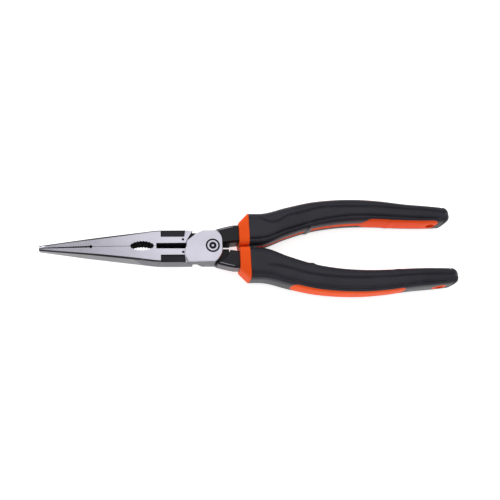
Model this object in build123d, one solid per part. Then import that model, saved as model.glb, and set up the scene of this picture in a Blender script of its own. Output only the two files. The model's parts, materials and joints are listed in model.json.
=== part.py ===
from build123d import *
import os
from math import cos, radians, sin

# Needle nose pliers, 220 mm long: two forged halves in a lap joint, a pivot rivet,
# and a two-material grip on each half. All sizes are in millimetres.
#
# Working frame: the pivot axis is Z through the origin, the jaws point along -X, and
# Z = 0 is the lap plane. The front half carries the lower jaw (-Y), the front boss (+Z)
# and the upper handle (+Y). The rear half is the front half turned half a turn about X.
# write_node moves everything to the row frame at the end.

# ---- driving dimensions -------------------------------------------------------------
PIVOT_TO_TIP = 86.2
PIVOT_TO_END = 133.5
LAP_GAP = 0.02              # each lap face stands this far from Z = 0
FACE_GAP = 0.05             # each closed gripping face stands this far from Y = 0

# jaws
JAW_HALF_THICK = 5.4        # flat front face of the jaw beside the joint
JAW_FULL_WIDTH_X = -24.0    # the jaw flank runs parallel to X behind this station
JAW_WIDTH = 8.5
JAW_SHOULDER_X = -32.0
JAW_SHOULDER_WIDTH = 7.9
TIP_WIDTH = 1.3
JAW_BEVEL = 0.75            # bevel along the outer edges of the jaw faces
JAW_SIDE_CURVE = [(-PIVOT_TO_TIP, 1.85), (-76.0, 2.75), (-62.0, 4.05), (-45.0, 4.95)]

# fine serrations at the nose
SERRATION_END_X = -61.9
SERRATION_PITCH = 0.8
SERRATION_DEPTH = 0.3
NOSE_RELIEF = 0.22          # the nose faces part by this much, each side, at the relief notch
NOTCH_X = -61.0
NOTCH_RADIUS = 0.8

# pipe grip, the toothed oval behind the flat gripping faces
GRIP_OVAL_X = -35.8
GRIP_OVAL_HALF_LENGTH = 6.0
GRIP_OVAL_HALF_WIDTH = 2.65
GRIP_TOOTH_HEIGHT = 0.42
GRIP_TEETH = 8

# wire cutter: bevels that run down from both faces to the cutting edge
CUTTER_FRONT_X = -28.7
CUTTER_REAR_X = -13.0
CUTTER_HALF_WIDTH = 1.45
CUTTER_WALL = 1.0           # straight part of the wall under the face
CUTTER_LAND = 0.35          # half thickness left at the cutting edge

# milled pockets on the outer part of each jaw face
POCKET_FRONT_X = -26.4
POCKET_REAR_X = (-14.5, -13.8)  # at the inner and at the outer edge
POCKET_INNER_Y = 4.8
POCKET_DEPTH = 0.9
DIMPLE = (-15.2, 3.35)
DIMPLE_RADIUS = 0.65
DIMPLE_TIP_RADIUS = 0.05

# joint
BOSS_HALF_THICK = 5.8
BOSS_TOP = 8.3
BOSS_BOTTOM = 8.6
BOSS_RIGHT = 5.2
BOSS_LEFT_RADIUS = 13.6
BOSS_BEVEL = 0.35
JOINT_CLEARANCE = 0.2       # curved gap between a boss and the other half's jaw
TANG_POCKET_RADIUS = 9.4    # the other half's boss turns inside this radius
RIVET_RADIUS = 3.2
RIVET_HEAD_RADIUS = 3.65
RIVET_HEAD_DEPTH = 0.9
RIVET_PROUD = 0.05
RIVET_RING = (1.9, 2.75)    # raised ring on the rivet head, inner and outer radius
RIVET_RELIEF = 0.25
RIVET_RIM = 0.3
RIVET_CENTRE_RADIUS = 0.6
RUNNING_CLEARANCE = 0.03

# tang, the forged bar that each grip is moulded on
TANG_HALF_THICK = 4.7
TANG_BAR_HALF_THICK = 4.4
TANG_END_HALF_THICK = 2.6
TANG_BEVEL = 1.0
NECK_OUTLINE = [
    (-2, 3),
    (-2, 7),
    (1.2, 8.45),
    (2.6, 9.5),
    (7.0, 10.7),
    (11.0, 11.6),
    (18.0, 11.9),
    (18.0, 2.8),
    (12.8, 2.2),
    (5.0, 1.4),
]
WEB_X = (3.0, 9.1)          # low web along the neck, in the front half's own layer
WEB_Y = (0.3, 2.4)
WEB_TOP = 3.6
TANG_INNER = [(17.5, 4.6), (28, 5.8), (40, 9.8), (53, 13.0), (66, 15.2), (80, 16.2), (96, 16.2)]
TANG_OUTER = [(17.5, 11.6), (28, 13.4), (40, 17.5), (53, 20.5), (66, 22.3), (80, 22.9), (96, 22.0)]

# grips
COLLAR_FRONT_X = 14.0
COLLAR_REAR_X = 19.2
COLLAR_INNER_Y = 0.3
COLLAR_FRONT_OUTER_Y = 13.0
COLLAR_REAR_OUTER_Y = 18.2
COLLAR_FRONT_HALF_THICK = 6.9
COLLAR_REAR_HALF_THICK = 8.0
GRIP_END_ROUND = 4.0
GRIP_END_ANGLES = (30, 55, 75, 88)   # degrees round the end at which it has sections
SKIN_THICK = 2.2
GRIP_CORNER = 0.55          # corner radius of a grip section over its smaller half side
# station X, inner Y, outer Y, half thickness
GRIP_STATIONS = [
    (COLLAR_REAR_X, 0.6, 18.0, 8.0),
    (27.0, 0.9, 18.2, 7.95),
    (40.0, 5.7, 21.6, 7.9),
    (53.0, 9.8, 24.6, 7.9),
    (66.0, 12.2, 26.1, 7.9),
    (80.0, 13.3, 26.5, 7.9),
    (93.0, 13.3, 25.7, 7.9),
    (107.0, 12.8, 24.0, 7.9),
    (120.0, 12.7, 23.0, 7.8),
    (PIVOT_TO_END - GRIP_END_ROUND, 12.9, 22.2, 7.5),
]
INLAY_OUTER_X = (40.5, 103.0)
OUTER_INLAY_Z = (-5.9, 5.0)
INNER_INLAY_Z = (-5.0, 6.4)
INLAY_CORNER = 4.0
STRIP_HALF_WIDTH = (1.2, 1.8)   # in front of and behind its break
STRIP_FRONT_X = 24.0
STRIP_BREAK_X = (50.5, 54.0)
STRIP_FLARE_X = (82.0, 86.0)
INLAY_INNER_END_X = 126.7
OUTER_WINDOW_Y = 19.0       # the outer inlay's window is cut from here outwards
EYE_WINDOW_Y = 17.0         # the tether eye's window too
INNER_WINDOW_Y = (11.0, 15.9)   # the strip's and the inlay's windows are cut inwards from here
TETHER_X = 123.5
TETHER_RADIUS = 2.35
TETHER_EYE_RADIUS = 3.95

BIG = 200.0                 # longer than the whole tool, for cuts that go right through


# ---- helpers ------------------------------------------------------------------------
def slab(face, low, high):
    """A flat face in the XY plane, extruded from Z = low to Z = high."""
    return Pos(0, 0, low) * extrude(face, high - low)


def polygon(points):
    return make_face(Polyline(*points, close=True))


def outline(*parts):
    """The face inside a closed chain of lines, arcs and splines."""
    return make_face([edge for part in parts for edge in part.edges()])


def turned(shape):
    """The same shape on the other half: half a turn about X."""
    return Rot(180, 0, 0) * shape


# ---- jaw ----------------------------------------------------------------------------
def nose_relief(x):
    """How far a nose face stands back from Y = 0, growing from the tip to the notch."""
    along = (x + PIVOT_TO_TIP) / (SERRATION_END_X + PIVOT_TO_TIP)
    return FACE_GAP + NOSE_RELIEF * along


def serration_points():
    points = []
    x = -PIVOT_TO_TIP + SERRATION_PITCH
    while x < SERRATION_END_X:
        points.append((x, -nose_relief(x) - SERRATION_DEPTH))
        points.append((x + SERRATION_PITCH / 2, -nose_relief(x)))
        x += SERRATION_PITCH
    return points


def jaw_plan():
    inner = [(-PIVOT_TO_TIP, -nose_relief(-PIVOT_TO_TIP))]
    inner += serration_points()
    inner += [(NOTCH_X, -nose_relief(NOTCH_X)), (NOTCH_X, -FACE_GAP), (0, -FACE_GAP)]
    start = (0, -JAW_WIDTH)
    flank_rear = (JAW_FULL_WIDTH_X, -JAW_WIDTH)
    flank_front = (JAW_SHOULDER_X, -JAW_SHOULDER_WIDTH)
    tip_outer = (-PIVOT_TO_TIP, -TIP_WIDTH)
    return outline(
        Polyline(*inner, start, flank_rear),
        TangentArc(flank_rear, flank_front, tangent=(-1, 0)),
        Polyline(flank_front, tip_outer, inner[0]),
    )


def jaw_profile():
    """Side view of the jaw in the XZ plane, thin at the tip and full at the joint."""
    shoulder = (JAW_SHOULDER_X, JAW_HALF_THICK)
    tip_tangent = (10, 1)
    top = Spline(*JAW_SIDE_CURVE, shoulder, tangents=[tip_tangent, (1, 0)], tangent_scalars=[1, 1])
    base = [shoulder, (0, JAW_HALF_THICK), (0, 0), (-PIVOT_TO_TIP, 0), JAW_SIDE_CURVE[0]]
    upper = outline(top, Polyline(*base))
    return upper + mirror(upper, about=Plane.XZ)


def pipe_grip():
    """Toothed oval, cut through both jaws."""
    steps = 2 * GRIP_TEETH
    upper = []
    for i in range(1, steps):
        along = -1 + 2 * i / steps
        width = GRIP_OVAL_HALF_WIDTH * (1 - along * along) ** 0.5
        tooth = GRIP_TOOTH_HEIGHT if i % 2 == 0 else 0
        upper.append((GRIP_OVAL_X + along * GRIP_OVAL_HALF_LENGTH, width - tooth))
    lower = [(x, -y) for x, y in reversed(upper)]
    front_end = (GRIP_OVAL_X - GRIP_OVAL_HALF_LENGTH, 0)
    rear_end = (GRIP_OVAL_X + GRIP_OVAL_HALF_LENGTH, 0)
    return slab(polygon([front_end, *upper, rear_end, *lower]), -BIG, BIG)


def cutter_valley():
    """Bevels of the wire cutter on one jaw, seen along X and cut from both faces."""
    wall = JAW_HALF_THICK - CUTTER_WALL
    side = [
        (1, BOSS_HALF_THICK + 1),
        (-CUTTER_HALF_WIDTH, BOSS_HALF_THICK + 1),
        (-CUTTER_HALF_WIDTH, wall),
        (-FACE_GAP, CUTTER_LAND),
        (1, CUTTER_LAND),
    ]
    plane = Plane(origin=(CUTTER_FRONT_X, 0, 0), x_dir=(0, 1, 0), z_dir=(1, 0, 0))
    front = extrude(plane * polygon(side), CUTTER_REAR_X - CUTTER_FRONT_X)
    return front + mirror(front, about=Plane.XY)


def face_pockets():
    """Milled pocket and dimple on both faces of the jaw."""
    plan = [
        (POCKET_FRONT_X, -POCKET_INNER_Y),
        (POCKET_REAR_X[0], -POCKET_INNER_Y),
        (POCKET_REAR_X[1], -JAW_WIDTH - 1),
        (POCKET_FRONT_X, -JAW_WIDTH - 1),
    ]
    floor = JAW_HALF_THICK - POCKET_DEPTH
    front = slab(polygon(plan), floor, BIG)
    dimple = Pos(DIMPLE[0], -DIMPLE[1], JAW_HALF_THICK) * Rot(180, 0, 0)
    front += dimple * Pos(0, 0, DIMPLE_RADIUS / 2) * Cone(DIMPLE_RADIUS, DIMPLE_TIP_RADIUS, DIMPLE_RADIUS)
    return front + mirror(front, about=Plane.XY)


def shoulder_cut():
    """What the jaw leaves free for the other half's boss, in the layer below Z = 0."""
    radius = BOSS_LEFT_RADIUS + JOINT_CLEARANCE
    low = -2.5
    arc_end = (-(radius * radius - low * low) ** 0.5, low)
    arc_mid = (-radius * cos(radians(5)), -radius * sin(radians(5)))
    far = [(-10.1, -8.1), (-9.8, -BIG), (BIG, -BIG), (BIG, 2), (-radius, 2), (-radius, 0)]
    face = outline(ThreePointArc((-radius, 0), arc_mid, arc_end), Polyline(arc_end, *far))
    return slab(face, -BIG, LAP_GAP)


def is_outer_edge(edge):
    """Whether an edge of the plain jaw runs lengthwise along its flank."""
    middle = edge @ 0.5
    direction = edge % 0.5
    lengthwise = abs(direction.X) > 0.9 and middle.Y < -TIP_WIDTH
    slanted = abs(direction.Y) > 0.05
    return lengthwise and (slanted or middle.Y < -JAW_WIDTH / 2)


def make_jaw():
    jaw = slab(jaw_plan(), -BIG, BIG)
    profile = Plane.XZ * jaw_profile()
    jaw &= extrude(profile, BIG, both=True)
    jaw = chamfer([edge for edge in jaw.edges() if is_outer_edge(edge)], JAW_BEVEL)
    jaw -= Pos(NOTCH_X, 0, 0) * Cylinder(NOTCH_RADIUS, BIG)
    jaw -= pipe_grip()
    jaw -= cutter_valley()
    jaw -= face_pockets()
    jaw -= shoulder_cut()
    return jaw


# ---- boss and tang ------------------------------------------------------------------
def boss_outline():
    left_high = (-(BOSS_LEFT_RADIUS ** 2 - 2.6 ** 2) ** 0.5, 2.6)
    left = (-BOSS_LEFT_RADIUS, 0)
    corner = (-14.5, -4.8)
    top_left = (-4.9, BOSS_TOP)
    top_right = (2.2, BOSS_TOP)
    right_high = (BOSS_RIGHT, 3.1)
    right_low = (BOSS_RIGHT, -2.3)
    bottom_right = (1.0, -BOSS_BOTTOM)
    bottom_left = (-12.7, -BOSS_BOTTOM)
    left_mid = (-(BOSS_LEFT_RADIUS ** 2 - 1.3 ** 2) ** 0.5, 1.3)
    return outline(
        ThreePointArc(left, left_mid, left_high),
        ThreePointArc(left_high, (-9.6, 5.75), top_left),
        Line(top_left, top_right),
        ThreePointArc(top_right, (4.4, 6.1), right_high),
        Line(right_high, right_low),
        ThreePointArc(right_low, (3.9, -5.6), bottom_right),
        Polyline(bottom_right, bottom_left, corner),
        ThreePointArc(corner, (-14.3, -2.3), left),
    )


def make_boss():
    boss = slab(boss_outline(), LAP_GAP, BOSS_HALF_THICK)
    rim = boss.faces().sort_by(Axis.Z)[-1].edges()
    return chamfer(rim, BOSS_BEVEL)


def make_neck():
    """The bevelled stretch of tang that shows between the joint and the collar."""
    neck = slab(polygon(NECK_OUTLINE), -TANG_HALF_THICK, TANG_HALF_THICK)
    faces = neck.faces().sort_by(Axis.Z)
    showing = [e for e in faces[0].edges() + faces[-1].edges() if 2 < (e @ 0.5).X < 15]
    neck = chamfer(showing, TANG_BEVEL)
    neck -= slab(Circle(TANG_POCKET_RADIUS), -BIG, LAP_GAP)
    web = Rectangle(WEB_X[1] - WEB_X[0], WEB_Y[1] - WEB_Y[0], align=Align.MIN)
    return neck + Pos(WEB_X[0], WEB_Y[0]) * slab(web, LAP_GAP, WEB_TOP)


def make_bar():
    """The tapering bar inside the grip."""
    face = outline(
        Spline(*TANG_OUTER),
        Polyline(TANG_OUTER[-1], TANG_INNER[-1]),
        Spline(*reversed(TANG_INNER)),
        Polyline(TANG_INNER[0], TANG_OUTER[0]),
    )
    start_x = TANG_INNER[0][0]
    end_x = TANG_INNER[-1][0]
    thick = TANG_BAR_HALF_THICK
    thin = TANG_END_HALF_THICK
    side = [(start_x, thick), (end_x, thin), (end_x, -thin), (start_x, -thick)]
    return slab(face, -thick, thick) & extrude(Plane.XZ * polygon(side), BIG, both=True)


def rivet_hole(clearance):
    """Bore with a counterbore in the front face; a loose one has running clearance."""
    head_floor = BOSS_HALF_THICK - RIVET_HEAD_DEPTH - clearance
    hole = Cylinder(RIVET_RADIUS + clearance, BIG)
    return hole + slab(Circle(RIVET_HEAD_RADIUS + clearance), head_floor, BIG)


def make_half(clearance):
    half = make_jaw() + make_boss() + make_neck() + make_bar()
    return half - rivet_hole(clearance)


def make_rivet():
    face = BOSS_HALF_THICK + RIVET_PROUD
    head = slab(Circle(RIVET_HEAD_RADIUS), BOSS_HALF_THICK - RIVET_HEAD_DEPTH, face)
    floor = face - RIVET_RELIEF
    head -= slab(Circle(RIVET_HEAD_RADIUS - RIVET_RIM) - Circle(RIVET_RING[1]), floor, BIG)
    head -= slab(Circle(RIVET_RING[0]) - Circle(RIVET_CENTRE_RADIUS), floor, BIG)
    return Cylinder(RIVET_RADIUS, 2 * (BOSS_HALF_THICK - RIVET_HEAD_DEPTH)) + head + turned(head)


# ---- grips --------------------------------------------------------------------------
def grip_section(x, inner, outer, half_thick, inset=0.0):
    plane = Plane(origin=(x, (inner + outer) / 2, 0), x_dir=(0, 1, 0), z_dir=(1, 0, 0))
    width = outer - inner - 2 * inset
    height = 2 * (half_thick - inset)
    return plane * RectangleRounded(width, height, GRIP_CORNER * min(width, height) / 2)


def grip_body(inset=0.0):
    """The handle's outer form, or the same form drawn in by inset."""
    sections = [grip_section(*station, inset) for station in GRIP_STATIONS]
    end_x, inner, outer, half_thick = GRIP_STATIONS[-1]
    radius = GRIP_END_ROUND - inset
    for angle in GRIP_END_ANGLES:
        drop = radius * (1 - cos(radians(angle)))
        x = end_x + radius * sin(radians(angle))
        sections.append(grip_section(x, inner + drop, outer - drop, half_thick - drop, inset))
    return loft(sections)


def make_collar():
    front = grip_section(COLLAR_FRONT_X, COLLAR_INNER_Y, COLLAR_FRONT_OUTER_Y, COLLAR_FRONT_HALF_THICK)
    rear = grip_section(COLLAR_REAR_X, COLLAR_INNER_Y, COLLAR_REAR_OUTER_Y, COLLAR_REAR_HALF_THICK)
    return loft([front, rear])


def along_y(face, y0, y1):
    """A face drawn in X and Z, extruded along Y from y0 to y1."""
    return Pos(0, y1, 0) * extrude(Plane.XZ * face, y1 - y0)


def outer_windows():
    """Where the hard core shows on the outer side of a grip: an inlay and an eye."""
    x0, x1 = INLAY_OUTER_X
    z0, z1 = OUTER_INLAY_Z
    inlay = Pos((x0 + x1) / 2, (z0 + z1) / 2) * RectangleRounded(x1 - x0, z1 - z0, INLAY_CORNER)
    eye = Pos(TETHER_X, 0) * Circle(TETHER_EYE_RADIUS)
    return along_y(inlay, OUTER_WINDOW_Y, BIG) + along_y(eye, EYE_WINDOW_Y, BIG)


def inner_windows():
    """Where the core shows on the inner side: a narrow strip that flares into an inlay."""
    break0, break1 = STRIP_BREAK_X
    flare0, flare1 = STRIP_FLARE_X
    narrow, wide = STRIP_HALF_WIDTH
    strip_length = break0 - STRIP_FRONT_X
    strip = Pos(STRIP_FRONT_X + strip_length / 2, 0) * Rectangle(strip_length, 2 * narrow)
    z0, z1 = INNER_INLAY_Z
    end = INLAY_INNER_END_X
    top = [(break1, wide), (flare0, wide), (flare1, z1), (end, z1)]
    bottom = [(end, z0), (flare1, z0), (flare0, -wide), (break1, -wide)]
    inlay = polygon(top + bottom)
    inlay = fillet(inlay.vertices().sort_by(Axis.X)[-2:], INLAY_CORNER)
    windows = along_y(strip, -1, INNER_WINDOW_Y[0])
    return windows + along_y(inlay, -1, INNER_WINDOW_Y[1])


def make_grip():
    """The hard core with its collar, and the soft skin moulded round it."""
    outer = grip_body()
    core = grip_body(SKIN_THICK)
    core += outer & outer_windows()
    core += outer & inner_windows()
    skin = outer - core
    core += make_collar()
    core -= make_neck()
    core -= make_bar()
    bore = Pos(TETHER_X, 0, 0) * Rot(90, 0, 0) * Cylinder(TETHER_RADIUS, BIG)
    return core - bore, skin


def write_node(name, shape, place):
    export_step(place * shape, os.path.join("parts", name + ".step"))


def main():
    os.makedirs("parts", exist_ok=True)
    place = Pos(-(PIVOT_TO_END - PIVOT_TO_TIP) / 2, 0, COLLAR_REAR_HALF_THICK)
    core, skin = make_grip()
    nodes = {
        "front_half": make_half(0.0),
        "rear_half": turned(make_half(RUNNING_CLEARANCE)),
        "pivot_rivet": make_rivet(),
        "upper_grip_core": core,
        "upper_grip_skin": skin,
        "lower_grip_core": turned(core),
        "lower_grip_skin": turned(skin),
    }
    for name, shape in nodes.items():
        write_node(name, shape, place)


main()
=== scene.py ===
import json
import math

import bmesh
import bpy
import numpy as np
from mathutils import Matrix, Vector

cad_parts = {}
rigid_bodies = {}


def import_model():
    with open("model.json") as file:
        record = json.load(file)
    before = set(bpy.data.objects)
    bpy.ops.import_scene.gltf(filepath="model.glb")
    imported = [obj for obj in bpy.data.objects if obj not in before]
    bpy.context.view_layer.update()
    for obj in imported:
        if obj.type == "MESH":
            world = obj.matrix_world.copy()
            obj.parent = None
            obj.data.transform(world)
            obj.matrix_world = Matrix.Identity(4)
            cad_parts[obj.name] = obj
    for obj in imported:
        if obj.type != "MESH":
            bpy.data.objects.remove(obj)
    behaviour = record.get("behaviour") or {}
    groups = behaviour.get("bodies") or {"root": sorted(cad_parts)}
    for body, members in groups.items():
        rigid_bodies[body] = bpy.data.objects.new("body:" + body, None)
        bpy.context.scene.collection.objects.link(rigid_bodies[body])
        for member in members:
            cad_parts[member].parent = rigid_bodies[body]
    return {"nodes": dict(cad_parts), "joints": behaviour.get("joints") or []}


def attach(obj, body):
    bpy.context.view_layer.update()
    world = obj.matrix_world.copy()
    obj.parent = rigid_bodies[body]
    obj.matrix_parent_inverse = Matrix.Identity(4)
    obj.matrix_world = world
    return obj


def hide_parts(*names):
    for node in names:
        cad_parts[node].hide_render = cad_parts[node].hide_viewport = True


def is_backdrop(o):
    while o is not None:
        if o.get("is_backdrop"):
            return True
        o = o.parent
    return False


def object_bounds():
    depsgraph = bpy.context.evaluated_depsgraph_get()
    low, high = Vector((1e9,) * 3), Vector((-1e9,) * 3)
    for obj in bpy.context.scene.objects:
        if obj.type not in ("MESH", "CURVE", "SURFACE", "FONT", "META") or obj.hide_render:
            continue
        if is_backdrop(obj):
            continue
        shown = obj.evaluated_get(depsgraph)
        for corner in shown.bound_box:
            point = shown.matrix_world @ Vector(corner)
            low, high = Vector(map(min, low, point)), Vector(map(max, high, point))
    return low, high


for leftover in list(bpy.data.objects):
    bpy.data.objects.remove(leftover)
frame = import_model()
CAD_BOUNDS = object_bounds()

# Needle nose pliers, closed and lying flat. Lengths in this file are in millimetres from
# the pivot, with +X towards the handle ends, +Y across and +Z along the pivot axis, and
# MM turns them into the frame's metres. The upper grip is built and the lower one is the
# same grip turned half a turn about X, as on the real tool.
MM = 0.001
PIVOT = Vector(frame["joints"][0]["pos_m"])
UPPER_BODY = frame["joints"][0]["parent"]
LOWER_BODY = frame["joints"][0]["child"]

# ---- grip shape: station X, inner Y, outer Y, half thickness ----
COLLAR_REAR_X = 19.2
GRIP_END_X = 133.5
END_ROUND = 4.0
STATIONS = [
    (COLLAR_REAR_X, 0.6, 18.0, 8.0),
    (27.0, 0.9, 18.2, 7.95),
    (40.0, 5.7, 21.6, 7.9),
    (53.0, 9.8, 24.6, 7.9),
    (66.0, 12.2, 26.1, 7.9),
    (80.0, 13.3, 26.5, 7.9),
    (93.0, 13.3, 25.7, 7.9),
    (107.0, 12.8, 24.0, 7.9),
    (120.0, 12.7, 23.0, 7.8),
    (GRIP_END_X - END_ROUND, 12.9, 22.2, 7.5),
]
ROUNDNESS = 4.0             # superellipse exponent of the grip's section
AROUND = 192                # grid columns round a grip
ROW_STEP = 0.45             # grid rows along a grip
END_ROWS = 12               # rows round the end
SKIN_THICK = 1.9
CORE_GAP = 0.02             # between the skin's inside and the core
MIN_HALF = 0.4              # smallest half width of a section drawn in at the end
CURVE_STEPS = 3001          # samples used to space a section's points evenly

# creases of the front face: station X and distance in from the outer and the inner side
OUTER_CREASE = [
    (19.0, 1.5),
    (26.0, 3.9),
    (31.0, 6.7),
    (35.5, 7.2),
    (40.5, 5.8),
    (48.0, 5.8),
    (58.0, 4.8),
    (75.0, 5.1),
    (98.0, 4.2),
    (118.0, 3.5),
    (133.0, 3.9),
]
INNER_CREASE = [
    (19.0, 2.3),
    (36.0, 2.7),
    (49.0, 2.3),
    (58.0, 2.5),
    (75.0, 3.1),
    (100.0, 2.7),
    (133.0, 2.0),
]
# on the back face the long crease runs from the inner side and the sharp one from the outer
BACK_LONG_CREASE = [
    (19.0, 10.6),
    (29.8, 9.8),
    (34.5, 8.3),
    (46.4, 7.2),
    (70.8, 5.6),
    (100.0, 4.6),
    (133.0, 4.0),
]
BACK_SHARP_CREASE = [(19.0, 2.3), (38.0, 2.1), (70.0, 1.9), (100.0, 2.0), (133.0, 2.0)]
LONG_CREASE_SHAPE = {"width": 0.5, "depth": 0.55}
SHARP_CREASE_SHAPE = {"width": 0.55, "depth": 0.8}
LONG_CREASE_START = ((19.5, 24.0), (25.0, 32.0))    # fades in over these X, front and back
SHARP_CREASE_END = (124.0, 129.0)                   # fades out over these X
KINK = {"x": 99.0, "width": 1.6, "depth": 0.2}      # low bump on the inner side
PARTING_RING = {"x": 129.0, "width": 0.4, "depth": 0.32}

# windows in the skin, where the hard core shows
OUTER_INLAY_X = (40.5, 103.0)
INNER_INLAY_END_X = 126.7
INNER_INLAY_Z = (-5.0, 6.4)
OUTER_INLAY_Z = (-5.9, 5.0)
INLAY_CORNER = 4.0
STRIP_HALF_WIDTH = (1.2, 1.8)    # in front of and behind the bridge
STRIP_X = (23.5, 50.4)
STRIP_CORNER = 0.8
BRIDGE_X = (50.4, 54.2)     # the skin bridges the strip here, in a low bump
BRIDGE_BUMP = {"width": 1.3, "depth": 0.45}
FLARE_X = (82.0, 86.0)
FLARE_CORNER = 3.0
TETHER_X = 123.5
TETHER_RADIUS = 2.35
EYE_RADIUS = 3.95
CIRCLE_POINTS = 48
SEAM_DEPTH = 0.28
SEAM_WIDTH = 0.38
# how far each window's cutter, and the tether bore's, reaches along Y
OUTER_INLAY_CUT_Y = (18.0, 40.0)
EYE_CUT_Y = (17.0, 40.0)
STRIP_CUT_Y = (-4.0, 11.5)
INNER_INLAY_CUT_Y = (-4.0, 16.5)
BORE_CUT_Y = (-10.0, 60.0)


def to_frame(points):
    """Rows of millimetres from the pivot, as rows of metres in the frame."""
    return np.asarray(points, float) * MM + np.array(PIVOT)


def mesh_object(name, points, faces, smooth=True):
    mesh = bpy.data.meshes.new(name)
    mesh.from_pydata([tuple(p) for p in to_frame(points)], [], faces)
    mesh.update()
    if smooth:
        mesh.shade_smooth()
    piece = bpy.data.objects.new(name, mesh)
    bpy.context.scene.collection.objects.link(piece)
    return piece


def apply_modifiers(piece):
    depsgraph = bpy.context.evaluated_depsgraph_get()
    mesh = bpy.data.meshes.new_from_object(piece.evaluated_get(depsgraph))
    old = piece.data
    piece.modifiers.clear()
    piece.data = mesh
    bpy.data.meshes.remove(old)


# ---- smooth curves through the stations ----
def smooth_curve(xs, ys, x):
    """Cubic Hermite curve through given points, with finite-difference slopes."""
    xs = np.asarray(xs, float)
    ys = np.asarray(ys, float)
    slopes = np.gradient(ys, xs)
    i = np.clip(np.searchsorted(xs, x) - 1, 0, len(xs) - 2)
    h = xs[i + 1] - xs[i]
    t = np.clip((x - xs[i]) / h, 0, 1)
    a = (1 + 2 * t) * (1 - t) ** 2
    b = t * (1 - t) ** 2
    c = t * t * (3 - 2 * t)
    d = t * t * (t - 1)
    return a * ys[i] + b * h * slopes[i] + c * ys[i + 1] + d * h * slopes[i + 1]


STATION_X = [s[0] for s in STATIONS]


def grip_inner(x):
    return smooth_curve(STATION_X, [s[1] for s in STATIONS], x)


def grip_outer(x):
    return smooth_curve(STATION_X, [s[2] for s in STATIONS], x)


def grip_half_thick(x):
    return smooth_curve(STATION_X, [s[3] for s in STATIONS], x)


def superellipse(half_y, half_z, power):
    """AROUND points at even spacing round a superellipse, from the +Y side over the top."""
    angle = np.linspace(0, 2 * np.pi, CURVE_STEPS)
    cos_part, sin_part = np.cos(angle), np.sin(angle)
    y = half_y * np.sign(cos_part) * np.abs(cos_part) ** (2 / power)
    z = half_z * np.sign(sin_part) * np.abs(sin_part) ** (2 / power)
    travelled = np.concatenate([[0], np.cumsum(np.hypot(np.diff(y), np.diff(z)))])
    even = np.linspace(0, travelled[-1], AROUND + 1)[:-1]
    return np.interp(even, travelled, y), np.interp(even, travelled, z)


# ---- outlines of the windows, in X and Z ----
def rounded_outline(corners, radius, steps=8):
    """A closed outline through convex and concave corners, each rounded to its radius."""
    points = []
    count = len(corners)
    for i, corner in enumerate(corners):
        here = Vector(corner)
        before = (Vector(corners[i - 1]) - here).normalized()
        after = (Vector(corners[(i + 1) % count]) - here).normalized()
        half = before.angle(after) / 2
        reach = radius[i] / math.tan(half)
        start = here + before * reach
        end = here + after * reach
        for k in range(steps + 1):
            t = k / steps
            points.append(tuple((1 - t) ** 2 * start + 2 * t * (1 - t) * here + t * t * end))
    return np.array(points)


def box_outline(x0, x1, z0, z1, radius):
    return rounded_outline([(x0, z0), (x1, z0), (x1, z1), (x0, z1)], [radius] * 4)


def outer_inlay_outline():
    return box_outline(*OUTER_INLAY_X, *OUTER_INLAY_Z, INLAY_CORNER)


def strip_outline():
    return box_outline(*STRIP_X, -STRIP_HALF_WIDTH[0], STRIP_HALF_WIDTH[0], STRIP_CORNER)


def inner_inlay_outline():
    """The strip behind the bridge, which flares into the inlay."""
    narrow = STRIP_HALF_WIDTH[1]
    low, high = INNER_INLAY_Z
    stations = [BRIDGE_X[1], *FLARE_X, INNER_INLAY_END_X]
    lower = list(zip(stations, [-narrow, -narrow, low, low]))
    upper = list(zip(stations, [narrow, narrow, high, high]))
    radii = [STRIP_CORNER, FLARE_CORNER, FLARE_CORNER, INLAY_CORNER]
    return rounded_outline(lower + upper[::-1], radii + radii[::-1])


def circle_outline(radius):
    """A circle round the tether hole's axis."""
    angles = np.linspace(0, 2 * np.pi, CIRCLE_POINTS, endpoint=False)
    return np.stack([TETHER_X + radius * np.cos(angles), radius * np.sin(angles)], 1)


def outline_distance(outline, x, z):
    """Distance in the XZ plane from each point to the outline."""
    best = np.full(x.shape, 1e9)
    for a, b in zip(outline, np.roll(outline, -1, axis=0)):
        edge = b - a
        length = edge @ edge
        if length < 1e-12:
            continue
        t = np.clip(((x - a[0]) * edge[0] + (z - a[1]) * edge[1]) / length, 0, 1)
        best = np.minimum(best, np.hypot(x - a[0] - t * edge[0], z - a[1] - t * edge[1]))
    return best


def groove(distance, width, depth):
    return depth * np.exp(-((distance / width) ** 2))


def crease(distance, width, depth):
    """Deepest on the line, with a sharper bottom than a groove."""
    return depth * np.exp(-np.abs(distance / width) ** 1.5)


def fade(x, low, high):
    t = np.clip((x - low) / (high - low), 0, 1)
    return t * t * (3 - 2 * t)


# ---- the grip's surface ----
def grip_rows():
    straight_end = GRIP_END_X - END_ROUND
    count = int((straight_end - COLLAR_REAR_X) / ROW_STEP)
    rows = [(x, 0.0) for x in np.linspace(COLLAR_REAR_X, straight_end, count)]
    for angle in np.linspace(0, math.pi / 2, END_ROWS)[1:]:
        rows.append((straight_end + END_ROUND * math.sin(angle), END_ROUND * (1 - math.cos(angle))))
    return rows


def base_surface(inset):
    """Grid of points of the plain grip form, drawn in by inset."""
    grid = []
    for x, drop in grip_rows():
        inner, outer, thick = grip_inner(x), grip_outer(x), grip_half_thick(x)
        half_y = max((outer - inner) / 2 - drop - inset, MIN_HALF)
        half_z = max(thick - drop - inset, MIN_HALF)
        y, z = superellipse(half_y, half_z, ROUNDNESS)
        row_x = min(x, GRIP_END_X - inset)
        grid.append(np.stack([np.full(AROUND, row_x), (inner + outer) / 2 + y, z], 1))
    return np.array(grid)


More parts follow.
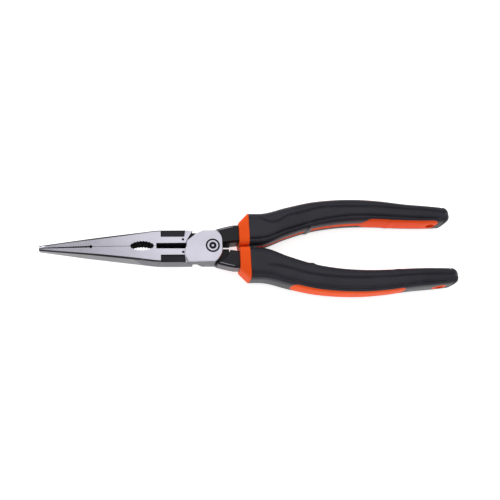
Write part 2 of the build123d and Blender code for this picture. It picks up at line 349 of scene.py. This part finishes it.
def grid_normals(grid):
    along = np.gradient(grid, axis=0)
    around = np.roll(grid, -1, axis=1) - np.roll(grid, 1, axis=1)
    normal = np.cross(around, along)
    return normal / np.maximum(np.linalg.norm(normal, axis=2, keepdims=True), 1e-9)


def surface_depth(grid):
    """How far the finished surface lies below the plain form at each grid point."""
    x, y, z = grid[..., 0], grid[..., 1], grid[..., 2]
    inner, outer = grip_inner(x), grip_outer(x)
    middle = (inner + outer) / 2
    on_face = fade(np.abs(z) / grip_half_thick(x), 0.7, 0.85)
    front = z > 0
    # long crease on each face, dipping at the thumb flare on the front
    front_y = outer - smooth_curve(*zip(*OUTER_CREASE), x)
    back_y = inner + smooth_curve(*zip(*BACK_LONG_CREASE), x)
    started = np.where(front, *[fade(x, *span) for span in LONG_CREASE_START])
    depth = crease(y - np.where(front, front_y, back_y), **LONG_CREASE_SHAPE) * on_face * started
    # sharper crease at the inner side of the front face and the outer side of the back face
    front_y = inner + smooth_curve(*zip(*INNER_CREASE), x)
    back_y = outer - smooth_curve(*zip(*BACK_SHARP_CREASE), x)
    near_side = np.where(front, y < middle, y > middle) * fade(np.abs(z), 4.5, 6.0)
    sharp = crease(y - np.where(front, front_y, back_y), **SHARP_CREASE_SHAPE)
    depth += sharp * near_side * (1 - fade(x, *SHARP_CREASE_END))
    # bridge over the strip and the small kink further along, both raised
    depth -= groove(x - sum(BRIDGE_X) / 2, **BRIDGE_BUMP) * (1 - fade(y - inner, 2.0, 4.0))
    kink = groove(x - KINK["x"], KINK["width"], KINK["depth"])
    depth -= kink * (1 - fade(y - inner, 3.0, 5.0))
    depth += groove(x - PARTING_RING["x"], PARTING_RING["width"], PARTING_RING["depth"])
    return depth


def seam_depth(grid):
    x, y, z = grid[..., 0], grid[..., 1], grid[..., 2]
    middle = (grip_inner(x) + grip_outer(x)) / 2
    outer_gap = np.minimum(
        outline_distance(outer_inlay_outline(), x, z),
        outline_distance(circle_outline(EYE_RADIUS), x, z),
    )
    inner_gap = np.minimum(
        outline_distance(strip_outline(), x, z),
        outline_distance(inner_inlay_outline(), x, z),
    )
    gap = np.where(y > middle, outer_gap, inner_gap)
    return groove(gap, SEAM_WIDTH, SEAM_DEPTH)


def shell_mesh(outer_grid, inner_grid):
    """Closed skin: outer surface, inner surface and the front rim that joins them."""
    rows, columns = outer_grid.shape[:2]
    points = list(outer_grid.reshape(-1, 3)) + list(inner_grid.reshape(-1, 3))
    base = rows * columns
    faces = []
    for r in range(rows - 1):
        for c in range(columns):
            n = (c + 1) % columns
            a, b = r * columns + c, r * columns + n
            faces.append((a, b, b + columns, a + columns))
            faces.append((base + a + columns, base + b + columns, base + b, base + a))
    for c in range(columns):
        n = (c + 1) % columns
        faces.append((base + c, base + n, n, c))
    last = (rows - 1) * columns
    faces.append(tuple(last + c for c in range(columns)))
    faces.append(tuple(base + last + c for c in reversed(range(columns))))
    return points, faces


def solid_mesh(grid):
    rows, columns = grid.shape[:2]
    points = list(grid.reshape(-1, 3))
    faces = []
    for r in range(rows - 1):
        for c in range(columns):
            n = (c + 1) % columns
            a, b = r * columns + c, r * columns + n
            faces.append((a, b, b + columns, a + columns))
    last = (rows - 1) * columns
    faces.append(tuple(last + c for c in range(columns)))
    faces.append(tuple(reversed(range(columns))))
    return points, faces


def prism(name, outline, y0, y1):
    """Closed prism along Y over an outline in X and Z."""
    count = len(outline)
    points = [(x, y0, z) for x, z in outline] + [(x, y1, z) for x, z in outline]
    faces = [tuple(range(count)), tuple(reversed(range(count, 2 * count)))]
    for i in range(count):
        n = (i + 1) % count
        faces.append((i + count, n + count, n, i))
    piece = mesh_object(name, points, faces, smooth=False)
    bm = bmesh.new()
    bm.from_mesh(piece.data)
    bmesh.ops.remove_doubles(bm, verts=bm.verts, dist=1e-8)
    bmesh.ops.recalc_face_normals(bm, faces=bm.faces)
    bm.to_mesh(piece.data)
    bm.free()
    return piece


def boolean(piece, tool, operation):
    step = piece.modifiers.new("cut", "BOOLEAN")
    step.operation = operation
    step.solver = "EXACT"
    step.object = tool
    apply_modifiers(piece)


def recalc_outside(piece):
    bm = bmesh.new()
    bm.from_mesh(piece.data)
    bmesh.ops.recalc_face_normals(bm, faces=bm.faces)
    bm.to_mesh(piece.data)
    bm.free()


def build_grip():
    """The upper grip's skin and core, and the list of inlays that fill the windows."""
    plain = base_surface(0.0)
    outer = plain - grid_normals(plain) * (surface_depth(plain) + seam_depth(plain))[..., None]
    inner = base_surface(SKIN_THICK)
    skin = mesh_object("skin", *shell_mesh(outer, inner))
    core = mesh_object("core", *solid_mesh(base_surface(SKIN_THICK + CORE_GAP)))
    pads = mesh_object("pads", *solid_mesh(outer))
    for piece in (skin, core, pads):
        recalc_outside(piece)
    windows = [
        prism("outer_window", outer_inlay_outline(), *OUTER_INLAY_CUT_Y),
        prism("eye_window", circle_outline(EYE_RADIUS), *EYE_CUT_Y),
        prism("strip_window", strip_outline(), *STRIP_CUT_Y),
        prism("inlay_window", inner_inlay_outline(), *INNER_INLAY_CUT_Y),
    ]
    bore = prism("bore", circle_outline(TETHER_RADIUS), *BORE_CUT_Y)
    inlays = []
    for window in windows:
        inlay = pads.copy()
        inlay.data = pads.data.copy()
        bpy.context.scene.collection.objects.link(inlay)
        boolean(inlay, window, "INTERSECT")
        boolean(inlay, bore, "DIFFERENCE")
        inlays.append(inlay)
        boolean(skin, window, "DIFFERENCE")
    boolean(core, bore, "DIFFERENCE")
    bpy.data.objects.remove(pads)
    for tool in windows + [bore]:
        bpy.data.objects.remove(tool)
    return skin, core, inlays


# ---- collar ----
COLLAR = {
    "front_x": 14.0,
    "front": (0.3, 13.0, 6.9),      # inner Y, outer Y, half thickness
    "rear": (0.3, 18.2, 8.0),
    "roundness": 5.0,
    "edge": 0.45,
}
EDGE_ROWS = 5               # rows round each edge of the collar
SIDE_ROWS = 8


def collar_section(x, inset):
    share = (x - COLLAR["front_x"]) / (COLLAR_REAR_X - COLLAR["front_x"])
    front, rear = np.array(COLLAR["front"]), np.array(COLLAR["rear"])
    inner, outer, thick = front + share * (rear - front)
    y, z = superellipse((outer - inner) / 2 - inset, thick - inset, COLLAR["roundness"])
    return np.stack([np.full(AROUND, x), (inner + outer) / 2 + y, z], 1)


def build_collar():
    edge = COLLAR["edge"]
    front_x = COLLAR["front_x"]
    rows = []
    for angle in np.linspace(0, math.pi / 2, EDGE_ROWS):
        rows.append((front_x + edge * (1 - math.sin(angle)), edge * (1 - math.cos(angle))))
    rows.reverse()
    for x in np.linspace(front_x + edge, COLLAR_REAR_X - edge, SIDE_ROWS)[1:]:
        rows.append((x, 0.0))
    for angle in np.linspace(0, math.pi / 2, EDGE_ROWS)[1:]:
        rows.append((COLLAR_REAR_X - edge * (1 - math.sin(angle)), edge * (1 - math.cos(angle))))
    grid = np.array([collar_section(x, inset) for x, inset in rows])
    piece = mesh_object("collar", *solid_mesh(grid))
    recalc_outside(piece)
    return piece


def join(name, pieces):
    bm = bmesh.new()
    for piece in pieces:
        bm.from_mesh(piece.data)
    mesh = bpy.data.meshes.new(name)
    bm.to_mesh(mesh)
    bm.free()
    mesh.shade_smooth()
    joined = bpy.data.objects.new(name, mesh)
    bpy.context.scene.collection.objects.link(joined)
    for piece in pieces:
        bpy.data.objects.remove(piece)
    return joined


def sharpen(piece, degrees):
    piece.data.shade_smooth()
    piece.data.set_sharp_from_angle(angle=math.radians(degrees))


def turned_copy(piece, name):
    """The same piece on the other lever: half a turn about X through the pivot."""
    copy = piece.copy()
    copy.data = piece.data.copy()
    copy.name = name
    turn = Matrix.Translation(PIVOT) @ Matrix.Rotation(math.pi, 4, "X") @ Matrix.Translation(-PIVOT)
    copy.data.transform(turn)
    bpy.context.scene.collection.objects.link(copy)
    return copy


# ---- materials: noise scales are per metre ----
GRAIN_SCALE = 1600.0        # fine grinding marks
GRAIN_STRETCH = (0.1, 1.0, 1.0)
CLOUD_SCALE = 60.0          # broad tone changes
METAL_RELIEF = 0.00002
PLASTIC_RELIEF = 0.00004


def new_material(name):
    material = bpy.data.materials.new(name)
    material.use_nodes = True
    tree = material.node_tree
    return material, tree, tree.nodes["Principled BSDF"]


def noise(tree, scale, detail, stretch=None):
    coords = tree.nodes.new("ShaderNodeTexCoord")
    texture = tree.nodes.new("ShaderNodeTexNoise")
    texture.inputs["Scale"].default_value = scale
    texture.inputs["Detail"].default_value = detail
    source = coords.outputs["Object"]
    if stretch:
        mapping = tree.nodes.new("ShaderNodeMapping")
        mapping.inputs["Scale"].default_value = stretch
        tree.links.new(source, mapping.inputs["Vector"])
        source = mapping.outputs["Vector"]
    tree.links.new(source, texture.inputs["Vector"])
    return texture.outputs["Fac"]


def ramp(tree, source, low, high):
    node = tree.nodes.new("ShaderNodeValToRGB")
    node.color_ramp.elements[0].position = 0.35
    node.color_ramp.elements[1].position = 0.65
    node.color_ramp.elements[0].color = (*low, 1)
    node.color_ramp.elements[1].color = (*high, 1)
    tree.links.new(source, node.inputs["Fac"])
    return node.outputs["Color"]


def map_range(tree, source, low, high):
    node = tree.nodes.new("ShaderNodeMapRange")
    node.inputs["To Min"].default_value = low
    node.inputs["To Max"].default_value = high
    tree.links.new(source, node.inputs["Value"])
    return node.outputs["Result"]


def add_bump(tree, shader, height, distance, strength):
    bump = tree.nodes.new("ShaderNodeBump")
    bump.inputs["Strength"].default_value = strength
    bump.inputs["Distance"].default_value = distance
    tree.links.new(height, bump.inputs["Height"])
    tree.links.new(bump.outputs["Normal"], shader.inputs["Normal"])


def math_node(tree, operation, first, second):
    """A math node on two inputs, each a socket or a number."""
    node = tree.nodes.new("ShaderNodeMath")
    node.operation = operation
    for socket, value in zip(node.inputs, (first, second)):
        if isinstance(value, (int, float)):
            socket.default_value = value
        else:
            tree.links.new(value, socket)
    return node.outputs["Value"]


def place_in_mm(tree):
    """X, Y and Z of the surface in millimetres from the pivot, and the texture coordinates."""
    coords = tree.nodes.new("ShaderNodeTexCoord")
    shift = tree.nodes.new("ShaderNodeVectorMath")
    shift.operation = "SUBTRACT"
    shift.inputs[1].default_value = PIVOT
    tree.links.new(coords.outputs["Object"], shift.inputs[0])
    scale = tree.nodes.new("ShaderNodeVectorMath")
    scale.operation = "SCALE"
    scale.inputs["Scale"].default_value = 1 / MM
    tree.links.new(shift.outputs["Vector"], scale.inputs["Vector"])
    split = tree.nodes.new("ShaderNodeSeparateXYZ")
    tree.links.new(scale.outputs["Vector"], split.inputs["Vector"])
    return [split.outputs[axis] for axis in "XYZ"], coords


def mix_colours(tree, share, first, second):
    node = tree.nodes.new("ShaderNodeMix")
    node.data_type = "RGBA"
    tree.links.new(share, node.inputs["Factor"])
    tree.links.new(first, node.inputs[6])
    tree.links.new(second, node.inputs[7])
    return node.outputs[2]


def metal(name, dark, light, roughness, bump):
    material, tree, shader = new_material(name)
    shader.inputs["Metallic"].default_value = 1.0
    grain = noise(tree, GRAIN_SCALE, 3.0, GRAIN_STRETCH)
    cloud = noise(tree, CLOUD_SCALE, 3.0)
    tree.links.new(ramp(tree, cloud, dark, light), shader.inputs["Base Color"])
    tree.links.new(map_range(tree, grain, *roughness), shader.inputs["Roughness"])
    add_bump(tree, shader, grain, METAL_RELIEF, bump)
    return material


def flank_metal(name, bright, dark, roughness, bump):
    """Ground bright towards the nose, as forged behind a slanting line."""
    material, tree, shader = new_material(name)
    shader.inputs["Metallic"].default_value = 1.0
    (x, _, z), coords = place_in_mm(tree)
    facing = tree.nodes.new("ShaderNodeSeparateXYZ")
    tree.links.new(coords.outputs["Normal"], facing.inputs["Vector"])
    height = math_node(tree, "MULTIPLY", z, facing.outputs["Y"])
    slant = math_node(tree, "MULTIPLY", height, FORGED_LINE_SLANT)
    along = math_node(tree, "ADD", math_node(tree, "ADD", x, slant), -FORGED_LINE_X)
    behind = math_node(tree, "MULTIPLY", along, FORGED_LINE_SHARPNESS)
    clamp = tree.nodes.new("ShaderNodeClamp")
    tree.links.new(behind, clamp.inputs["Value"])
    grain = noise(tree, GRAIN_SCALE, 3.0, GRAIN_STRETCH)
    cloud = noise(tree, CLOUD_SCALE, 3.0)
    front_colour = ramp(tree, cloud, *bright)
    rear_colour = ramp(tree, cloud, *dark)
    colour = mix_colours(tree, clamp.outputs["Result"], front_colour, rear_colour)
    tree.links.new(colour, shader.inputs["Base Color"])
    tree.links.new(map_range(tree, grain, *roughness), shader.inputs["Roughness"])
    add_bump(tree, shader, grain, METAL_RELIEF, bump)
    return material


def rivet_metal(name, dark, light, roughness, bump):
    """Blackened rivet with a bright ring and a bright dot at its centre."""
    material, tree, shader = new_material(name)
    shader.inputs["Metallic"].default_value = 1.0
    (x, y, _), _ = place_in_mm(tree)
    squares = [math_node(tree, "MULTIPLY", axis, axis) for axis in (x, y)]
    radius = math_node(tree, "SQRT", math_node(tree, "ADD", *squares), 0.0)
    from_ring = math_node(tree, "SUBTRACT", radius, RIVET_RING_RADIUS)
    off_ring = math_node(tree, "ABSOLUTE", from_ring, 0.0)
    on_ring = math_node(tree, "LESS_THAN", off_ring, RIVET_RING_HALF_WIDTH)
    on_dot = math_node(tree, "LESS_THAN", radius, RIVET_DOT_RADIUS)
    bright = math_node(tree, "MAXIMUM", on_ring, on_dot)
    cloud = noise(tree, RIVET_CLOUD_SCALE, 3.0)
    colour = mix_colours(tree, bright, ramp(tree, cloud, *dark), ramp(tree, cloud, *light))
    tree.links.new(colour, shader.inputs["Base Color"])
    tree.links.new(map_range(tree, cloud, *roughness), shader.inputs["Roughness"])
    add_bump(tree, shader, cloud, METAL_RELIEF, bump)
    return material


def plastic(name, dark, light, roughness, grain_scale, bump, specular):
    material, tree, shader = new_material(name)
    shader.inputs["Specular IOR Level"].default_value = specular
    grain = noise(tree, grain_scale, 2.0)
    cloud = noise(tree, CLOUD_SCALE, 3.0)
    tree.links.new(ramp(tree, cloud, dark, light), shader.inputs["Base Color"])
    tree.links.new(map_range(tree, grain, *roughness), shader.inputs["Roughness"])
    add_bump(tree, shader, grain, PLASTIC_RELIEF, bump)
    return material


# pairs of colours between which the tone drifts
BRIGHT = ((0.445, 0.435, 0.50), (0.50, 0.49, 0.555))
GROUND = ((0.14, 0.14, 0.15), (0.19, 0.19, 0.20))
FORGED = ((0.06, 0.06, 0.078), (0.09, 0.09, 0.11))
# painted dark reflection for the jaw's outer chamfer, darker than the bare steel beside it
CHAMFER_PAINTED_REFLECTION = ((0.05, 0.045, 0.05), (0.08, 0.07, 0.075))
BLACKENED = ((0.009, 0.009, 0.012), (0.014, 0.014, 0.019))
SHADOWED = ((0.006, 0.006, 0.008), (0.01, 0.01, 0.012))
ORANGES = ((0.87, 0.086, 0.010), (0.93, 0.102, 0.014))
BLACKS = ((0.014, 0.014, 0.022), (0.021, 0.021, 0.031))
# the flank is as forged behind this X, on a line that slants with height
FORGED_LINE_X = -38.0
FORGED_LINE_SLANT = -0.62
FORGED_LINE_SHARPNESS = 1.2
RIVET_RING_RADIUS = 2.33
RIVET_RING_HALF_WIDTH = 0.43
RIVET_DOT_RADIUS = 0.62
RIVET_CLOUD_SCALE = 300.0

# name, colours, roughness range, bump
NICKEL = metal("nickel", *BRIGHT, (0.24, 0.34), 0.12)
FLANK = flank_metal("ground_flank", GROUND, FORGED, (0.26, 0.4), 0.15)
GUNMETAL = metal("gunmetal", *FORGED, (0.28, 0.40), 0.15)
JAW_CHAMFER_DARK_REFLECTION = metal("jaw_chamfer_dark_reflection", *CHAMFER_PAINTED_REFLECTION, (0.3, 0.4), 0.1)
RIVET = rivet_metal("rivet", BLACKENED, BRIGHT, (0.25, 0.4), 0.1)
# name, colours, roughness range, scale of the grain, bump, specular level
TOOTH = plastic("tooth_shadow", *SHADOWED, (0.7, 0.8), 1600.0, 0.1, 0.02)
OXIDE = plastic("black_oxide", *BLACKENED, (0.34, 0.44), 1600.0, 0.1, 0.2)
ORANGE = plastic("orange", *ORANGES, (0.42, 0.52), 1400.0, 0.1, 0.06)
RUBBER = plastic("black_skin", *BLACKS, (0.34, 0.44), 1800.0, 0.2, 0.25)


# ---- forged halves: the CAD form with its edges broken ----
BROKEN_EDGE = 0.1           # width of the fine bevel on the long sharp edges
HIGHLIGHT_EDGE = 0.28            # width of the bevel painted as a bright highlight line along the outer chamfer of a tang
LONG_EDGE = 2.5             # edges longer than this are broken, if they turn by enough
LONG_EDGE_TURN = 50.0       # degrees
MERGE_DISTANCE = 1e-6       # metres
FLAT_ANGLE = 0.5            # degrees; faces that meet at less are one
METAL_SHARP_ANGLE = 35.0
GRIP_SHARP_ANGLE = 40.0
FINISHES = (NICKEL, FLANK, GUNMETAL, OXIDE, JAW_CHAMFER_DARK_REFLECTION, TOOTH)
FAR = math.inf
ANY = (-FAR, FAR)
UNDER_FACE = 5.38           # just below the face of the jaw
# regions of the front half: lowest and highest X, Y and height above or below its middle
REGIONS = {
    "oval": ((-41.9, -29.7), (-2.8, FAR), ANY),
    "notch": ((-61.95, -60.05), (-0.9, FAR), ANY),
    "nose": ((-FAR, -61.0), (-1.0, FAR), ANY),
    "jaw": ((-FAR, -24.0), ANY, ANY),
    "flank": ((-FAR, -9.0), ANY, ANY),
    "joint": ((-15.5, FAR), ANY, ANY),
    "lap": (ANY, ANY, (-FAR, 1.0)),
    "pocket": ((-26.6, -13.4), (-FAR, -4.7), (4.4, UNDER_FACE)),
    "cutter": ((-28.9, -12.8), (-1.6, FAR), (-FAR, UNDER_FACE)),
    "dimple": ((-16.0, -14.4), (-4.15, -2.55), (4.6, 5.4)),
    "tang": ((6.0, FAR), ANY, ANY),
    "tang_root": ((1.5, FAR), (2.5, FAR), (-FAR, 4.75)),
    "tang_outside": ((2.0, 14.5), (7.0, FAR), ANY),
}


def is_highlight_edge(edge, turn):
    """The edge between the face of a tang and its outer chamfer."""
    spots = [(vert.co - PIVOT) / MM * turn for vert in edge.verts]
    levels = [abs(face.normal.z) for face in edge.link_faces]
    (front_end, _), (inner_side, _), _ = REGIONS["tang_outside"]
    outside = all(spot.x > front_end and spot.y > inner_side for spot in spots)
    return outside and max(levels) > 0.99 and 0.5 < min(levels) < 0.9


def build_half(node, name, flip):
    """A copy of a forging with its long edges broken and its faces painted."""
    turn = Vector((1, -1, -1)) if flip else Vector((1, 1, 1))
    mesh = bpy.data.meshes.new(name)
    bm = bmesh.new()
    bm.from_mesh(frame["nodes"][node].data)
    bmesh.ops.remove_doubles(bm, verts=bm.verts, dist=MERGE_DISTANCE)
    bmesh.ops.dissolve_limit(
        bm, angle_limit=math.radians(FLAT_ANGLE), verts=bm.verts, edges=bm.edges
    )
    highlight_edges = [edge for edge in bm.edges if is_highlight_edge(edge, turn)]
    bmesh.ops.bevel(bm, geom=highlight_edges, offset=HIGHLIGHT_EDGE / 2 * MM, segments=1, affect="EDGES")
    long_edges = [
        edge for edge in bm.edges
        if edge.calc_length() > LONG_EDGE * MM
        and edge.calc_face_angle(0) > math.radians(LONG_EDGE_TURN)
    ]
    bmesh.ops.bevel(
        bm, geom=long_edges, offset=BROKEN_EDGE * MM, segments=2, profile=0.5, affect="EDGES"
    )
    for face in bm.faces:
        spot = (face.calc_center_bounds() - PIVOT) / MM * turn
        face.material_index = finish_at(spot, face.normal * turn)
    bm.to_mesh(mesh)
    bm.free()
    for material in FINISHES:
        mesh.materials.append(material)
    piece = bpy.data.objects.new(name, mesh)
    bpy.context.scene.collection.objects.link(piece)
    return piece


def finish_at(spot, normal):
    """The finish at a spot of the front half: an index into FINISHES."""
    nickel, flank, gunmetal, oxide, jaw_chamfer_dark_reflection, tooth = range(len(FINISHES))
    place = (spot.x, spot.y, abs(spot.z))
    inside = {
        name: all(low < value < high for value, (low, high) in zip(place, region))
        for name, region in REGIONS.items()
    }
    tilt = abs(normal.z)
    upright = tilt < 0.35
    on_nose = inside["nose"] and normal.x > -0.95
    if upright and (inside["oval"] or inside["notch"] or on_nose):
        return tooth
    if inside["tang_outside"] and normal.y > 0.8:
        return gunmetal
    # painted highlight: the narrow bevel along the tang's outer chamfer is painted bright nickel
    if inside["tang_outside"] and 0.2 < normal.y < 0.6 and tilt > 0.8:
        return nickel
    on_lap = inside["lap"] and normal.z < -0.9
    in_cutter = inside["cutter"] and normal.y < 0.99
    blackened = ("tang", "tang_root", "pocket", "dimple")
    if on_lap or in_cutter or any(inside[name] for name in blackened):
        return oxide
    # the jaw's outer chamfer gets a painted dark reflection
    if inside["jaw"] and -0.9 < normal.y < -0.25 and tilt > 0.5:
        return jaw_chamfer_dark_reflection
    if inside["flank"] and normal.y < -0.9:
        return flank
    if inside["joint"] and upright:
        return gunmetal
    return nickel


def weigh_normals(piece):
    """Shades the broad flat faces flat and their narrow bevels round."""
    sharpen(piece, METAL_SHARP_ANGLE)
    step = piece.modifiers.new("normals", "WEIGHTED_NORMAL")
    step.keep_sharp = True
    apply_modifiers(piece)


front = build_half("front_half", "front_forging", False)
rear = build_half("rear_half", "rear_forging", True)
for piece, node, body in ((front, "front_half", UPPER_BODY), (rear, "rear_half", LOWER_BODY)):
    weigh_normals(piece)
    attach(piece, body)
    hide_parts(node)
frame["nodes"]["pivot_rivet"].material_slots[0].material = RIVET

skin, core, inlays = build_grip()
collar = build_collar()
core = join("upper_core", [core, collar] + inlays)
skin.name = "upper_skin"
for piece, material in ((skin, RUBBER), (core, ORANGE)):
    sharpen(piece, GRIP_SHARP_ANGLE)
    piece.data.materials.clear()
    piece.data.materials.append(material)
lower_skin = turned_copy(skin, "lower_skin")
lower_core = turned_copy(core, "lower_core")
for piece, node, body, slot in (
    (skin, "upper_grip_skin", UPPER_BODY, "black_rubber"),
    (core, "upper_grip_core", UPPER_BODY, "orange_plastic"),
    (lower_skin, "lower_grip_skin", LOWER_BODY, "black_rubber"),
    (lower_core, "lower_grip_core", LOWER_BODY, "orange_plastic"),
):
    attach(piece, body)
    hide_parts(node)

# ---- stage: metres ----
FLOOR_SIZE = 4.0
FLOOR_ALBEDO = 0.92
FLOOR_GLOW = 0.7            # keeps the floor plain white under the tool, as in the photo
WORLD_STRENGTH = 0.56
# name, place, size, power
LIGHTS = (
    ("overhead", (0.2, 0.36, 1.13), 1.0, 2.3),
    ("key", (-0.4, 0.55, 0.5), 0.35, 2.0),
)
CAMERA_TARGET = (20.21, -0.83, 0.0)         # millimetres from the pivot
CAMERA_AWAY = (-0.1654, -0.2916, 0.9421)
CAMERA_DISTANCE = 315.0                     # millimetres
CAMERA_LENS = 42.97
CAMERA_ROLL = -0.25                         # degrees


def build_floor():
    bpy.ops.mesh.primitive_plane_add(size=FLOOR_SIZE, location=(0, 0, CAD_BOUNDS[0][2]))
    floor = bpy.context.object
    floor.name = "floor"
    material, _, shader = new_material("floor_paint")
    shader.inputs["Base Color"].default_value = (FLOOR_ALBEDO, FLOOR_ALBEDO, FLOOR_ALBEDO, 1)
    shader.inputs["Roughness"].default_value = 0.9
    shader.inputs["Emission Color"].default_value = (1, 1, 1, 1)
    shader.inputs["Emission Strength"].default_value = FLOOR_GLOW
    floor.data.materials.append(material)
    floor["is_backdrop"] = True


def area_light(name, place, size, power):
    """A round light that faces the frame's origin."""
    data = bpy.data.lights.new(name, "AREA")
    data.shape = "DISK"
    data.size = size
    data.energy = power
    light = bpy.data.objects.new(name, data)
    light.location = place
    light.rotation_euler = (-Vector(place)).to_track_quat("-Z", "Y").to_euler()
    bpy.context.scene.collection.objects.link(light)


def build_world():
    world = bpy.data.worlds.new("studio")
    bpy.context.scene.world = world
    world.use_nodes = True
    background = world.node_tree.nodes["Background"]
    background.inputs["Color"].default_value = (1, 1, 1, 1)
    background.inputs["Strength"].default_value = WORLD_STRENGTH


def build_camera():
    """The camera looks down at the tool from a little to the front and the jaw side."""
    target = PIVOT + Vector(CAMERA_TARGET) * MM
    away = Vector(CAMERA_AWAY).normalized()
    data = bpy.data.cameras.new("camera")
    data.sensor_width = 36.0
    data.lens = CAMERA_LENS
    camera = bpy.data.objects.new("camera", data)
    up = Vector((0.0, away.z, -away.y)).normalized()
    roll = Matrix.Rotation(math.radians(CAMERA_ROLL), 4, "Z")
    rotation = Matrix((up.cross(away), up, away)).transposed().to_4x4() @ roll
    place = target + away * CAMERA_DISTANCE * MM
    camera.matrix_world = Matrix.Translation(place) @ rotation
    bpy.context.scene.collection.objects.link(camera)
    bpy.context.scene.camera = camera


build_floor()
build_world()
for light in LIGHTS:
    area_light(*light)
build_camera()
bpy.context.scene.view_settings.view_transform = "Standard"

boxes = {"cad": CAD_BOUNDS, "visual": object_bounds()}
boxes = {name: [list(map(float, corner)) for corner in box] for name, box in boxes.items()}
